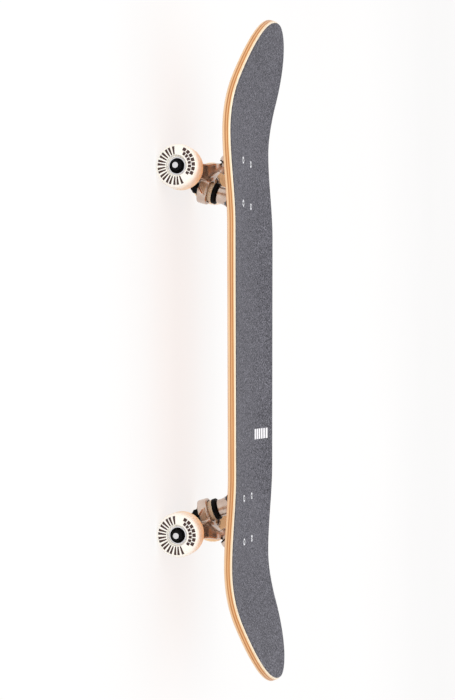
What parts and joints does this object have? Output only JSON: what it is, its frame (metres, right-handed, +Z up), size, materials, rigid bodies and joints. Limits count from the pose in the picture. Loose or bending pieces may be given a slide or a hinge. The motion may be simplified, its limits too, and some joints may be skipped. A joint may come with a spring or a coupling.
{
  "type": "skateboard",
  "caption": "Complete street skateboard with kicked maple deck, grip tape, steering trucks on urethane bushings and urethane wheels on ball bearings.",
  "frame": {"origin": "on the ground, under the middle of the board", "axes": "+X along the board from nose to tail, +Y to the right of a rider who faces the nose, +Z up"},
  "size_m": [0.8256, 0.209, 0.1346],
  "materials": {
    "maple": "clear lacquer, satin",
    "grit": "coarse abrasive",
    "cast_aluminium": "polished cast",
    "bright_steel": "zinc plated, satin",
    "black_steel": "black oxide, semi-gloss",
    "bearing_steel": "ground steel with black shields",
    "wheel_urethane": "cast urethane, satin",
    "bushing_urethane": "satin",
    "black_plastic": "matt"
  },
  "bodies": {
    "board": {"deck": "maple", "grip_tape": "grit", "front_baseplate": "cast_aluminium", "front_pivot_cup": "black_plastic", "front_kingpin": "black_steel", "front_kingpin_nut": "black_steel", "front_boardside_bushing": "bushing_urethane", "front_roadside_bushing": "bushing_urethane", "front_boardside_washer": "black_steel", "front_roadside_washer": "black_steel", "front_bolt_1": "bright_steel", "front_bolt_2": "bright_steel", "front_bolt_3": "bright_steel", "front_bolt_4": "bright_steel", "front_locknut_1": "black_steel", "front_locknut_2": "black_steel", "front_locknut_3": "black_steel", "front_locknut_4": "black_steel", "rear_baseplate": "cast_aluminium", "rear_pivot_cup": "black_plastic", "rear_kingpin": "black_steel", "rear_kingpin_nut": "black_steel", "rear_boardside_bushing": "bushing_urethane", "rear_roadside_bushing": "bushing_urethane", "rear_boardside_washer": "black_steel", "rear_roadside_washer": "black_steel", "rear_bolt_1": "bright_steel", "rear_bolt_2": "bright_steel", "rear_bolt_3": "bright_steel", "rear_bolt_4": "bright_steel", "rear_locknut_1": "black_steel", "rear_locknut_2": "black_steel", "rear_locknut_3": "black_steel", "rear_locknut_4": "black_steel"},
    "front_hanger_set": {"front_hanger": "cast_aluminium", "front_axle": "bright_steel", "front_left_speed_washer": "bright_steel", "front_left_axle_nut": "black_steel", "front_right_speed_washer": "bright_steel", "front_right_axle_nut": "black_steel"},
    "front_left_wheel_set": {"front_left_wheel": "wheel_urethane", "front_left_inner_bearing": "bearing_steel", "front_left_outer_bearing": "bearing_steel"},
    "front_right_wheel_set": {"front_right_wheel": "wheel_urethane", "front_right_inner_bearing": "bearing_steel", "front_right_outer_bearing": "bearing_steel"},
    "rear_hanger_set": {"rear_hanger": "cast_aluminium", "rear_axle": "bright_steel", "rear_left_speed_washer": "bright_steel", "rear_left_axle_nut": "black_steel", "rear_right_speed_washer": "bright_steel", "rear_right_axle_nut": "black_steel"},
    "rear_left_wheel_set": {"rear_left_wheel": "wheel_urethane", "rear_left_inner_bearing": "bearing_steel", "rear_left_outer_bearing": "bearing_steel"},
    "rear_right_wheel_set": {"rear_right_wheel": "wheel_urethane", "rear_right_inner_bearing": "bearing_steel", "rear_right_outer_bearing": "bearing_steel"}
  },
  "joints": [
    {"name": "front_steer", "type": "hinge", "parent": "board", "child": "front_hanger_set", "pos_m": [-0.20372, 0, 0.03957], "axis": [-0.7891, 0, 0.6143], "range_deg": [-12, 12], "stiffness_Nm_per_rad": 80, "deforming": ["front_boardside_bushing", "front_roadside_bushing"]},
    {"name": "front_left_wheel_spin", "type": "hinge", "parent": "front_hanger_set", "child": "front_left_wheel_set", "pos_m": [-0.2233, -0.0811, 0.027], "axis": [0, 1, 0], "continuous": true},
    {"name": "front_right_wheel_spin", "type": "hinge", "parent": "front_hanger_set", "child": "front_right_wheel_set", "pos_m": [-0.2233, 0.0811, 0.027], "axis": [0, 1, 0], "continuous": true},
    {"name": "rear_steer", "type": "hinge", "parent": "board", "child": "rear_hanger_set", "pos_m": [0.20372, 0, 0.03957], "axis": [0.7891, 0, 0.6143], "range_deg": [-12, 12], "stiffness_Nm_per_rad": 80, "deforming": ["rear_boardside_bushing", "rear_roadside_bushing"]},
    {"name": "rear_left_wheel_spin", "type": "hinge", "parent": "rear_hanger_set", "child": "rear_left_wheel_set", "pos_m": [0.2233, -0.0811, 0.027], "axis": [0, 1, 0], "continuous": true},
    {"name": "rear_right_wheel_spin", "type": "hinge", "parent": "rear_hanger_set", "child": "rear_right_wheel_set", "pos_m": [0.2233, 0.0811, 0.027], "axis": [0, 1, 0], "continuous": true}
  ]
}
